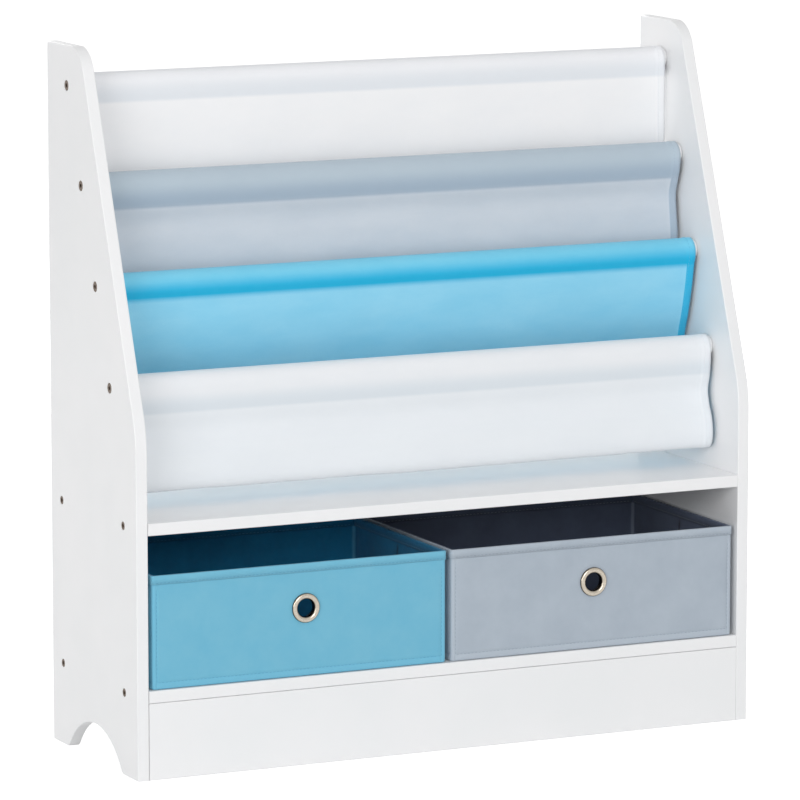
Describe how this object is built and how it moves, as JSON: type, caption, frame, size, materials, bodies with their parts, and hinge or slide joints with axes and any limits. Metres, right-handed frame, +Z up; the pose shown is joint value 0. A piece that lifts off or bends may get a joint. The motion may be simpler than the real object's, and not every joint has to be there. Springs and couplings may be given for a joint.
{
  "type": "sling bookshelf",
  "caption": "Low white children's bookshelf with a hanging cloth sling of book pockets over pull-out fabric boxes with metal finger eyelets.",
  "frame": {"origin": "middle of the footprint, on the floor", "axes": "+X to the right seen from the front, -Y out of the front where the boxes pull out, +Z up"},
  "size_m": [0.66, 0.215, 0.69],
  "materials": {
    "lacquered_board": "white semi-gloss lacquer on board",
    "lacquered_rod": "white lacquered round rod",
    "hardboard": "white painted hardboard, matt",
    "birch_dowel": "plain fluted hardwood",
    "steel_screw": "blackened, dulled",
    "white_cloth": "plain woven polyester, matt",
    "grey_cloth": "plain woven polyester, matt",
    "blue_cloth": "plain woven polyester, matt",
    "blue_felt": "non-woven fabric, matt",
    "grey_felt": "non-woven fabric, matt",
    "greyboard": "plain unprinted paperboard",
    "nickel_eyelet": "nickel plated, polished"
  },
  "bodies": {
    "shelf": {"side_panel_left": "lacquered_board", "side_panel_right": "lacquered_board", "lower_shelf": "lacquered_board", "upper_shelf": "lacquered_board", "front_plinth": "lacquered_board", "back_board": "hardboard", "sling_rod_top": "lacquered_rod", "sling_rod_second": "lacquered_rod", "sling_rod_third": "lacquered_rod", "sling_rod_lowest": "lacquered_rod", "sling_back_strip_white": "white_cloth", "sling_strip_grey": "grey_cloth", "sling_strip_blue": "blue_cloth", "sling_front_strip_white": "white_cloth", "rod_screw_left_top": "steel_screw", "rod_screw_left_second": "steel_screw", "rod_screw_left_third": "steel_screw", "rod_screw_left_lowest": "steel_screw", "screw_left_lower_shelf_front": "steel_screw", "screw_left_lower_shelf_rear": "steel_screw", "screw_left_upper_shelf_front": "steel_screw", "screw_left_upper_shelf_rear": "steel_screw", "plinth_dowel_left_lower": "birch_dowel", "plinth_dowel_left_upper": "birch_dowel", "rod_screw_right_top": "steel_screw", "rod_screw_right_second": "steel_screw", "rod_screw_right_third": "steel_screw", "rod_screw_right_lowest": "steel_screw", "screw_right_lower_shelf_front": "steel_screw", "screw_right_lower_shelf_rear": "steel_screw", "screw_right_upper_shelf_front": "steel_screw", "screw_right_upper_shelf_rear": "steel_screw", "plinth_dowel_right_lower": "birch_dowel", "plinth_dowel_right_upper": "birch_dowel"},
    "left_box": {"left_box_cover": "blue_felt", "left_box_lining": "blue_felt", "left_box_rim_binding": "blue_felt", "left_box_front_wall_card": "greyboard", "left_box_rear_wall_card": "greyboard", "left_box_left_wall_card_front": "greyboard", "left_box_left_wall_card_rear": "greyboard", "left_box_right_wall_card_front": "greyboard", "left_box_right_wall_card_rear": "greyboard", "left_box_base_insert": "blue_felt", "left_box_eyelet": "nickel_eyelet", "left_box_eyelet_washer": "nickel_eyelet"},
    "right_box": {"right_box_cover": "grey_felt", "right_box_lining": "grey_felt", "right_box_rim_binding": "grey_felt", "right_box_front_wall_card": "greyboard", "right_box_rear_wall_card": "greyboard", "right_box_left_wall_card_front": "greyboard", "right_box_left_wall_card_rear": "greyboard", "right_box_right_wall_card_front": "greyboard", "right_box_right_wall_card_rear": "greyboard", "right_box_base_insert": "grey_felt", "right_box_eyelet": "nickel_eyelet", "right_box_eyelet_washer": "nickel_eyelet"}
  },
  "joints": [
    {"name": "left_box_slide", "type": "slide", "parent": "shelf", "child": "left_box", "axis": [0, -1, 0], "range_m": [0, 0.215]},
    {"name": "right_box_slide", "type": "slide", "parent": "shelf", "child": "right_box", "axis": [0, -1, 0], "range_m": [0, 0.215]}
  ]
}
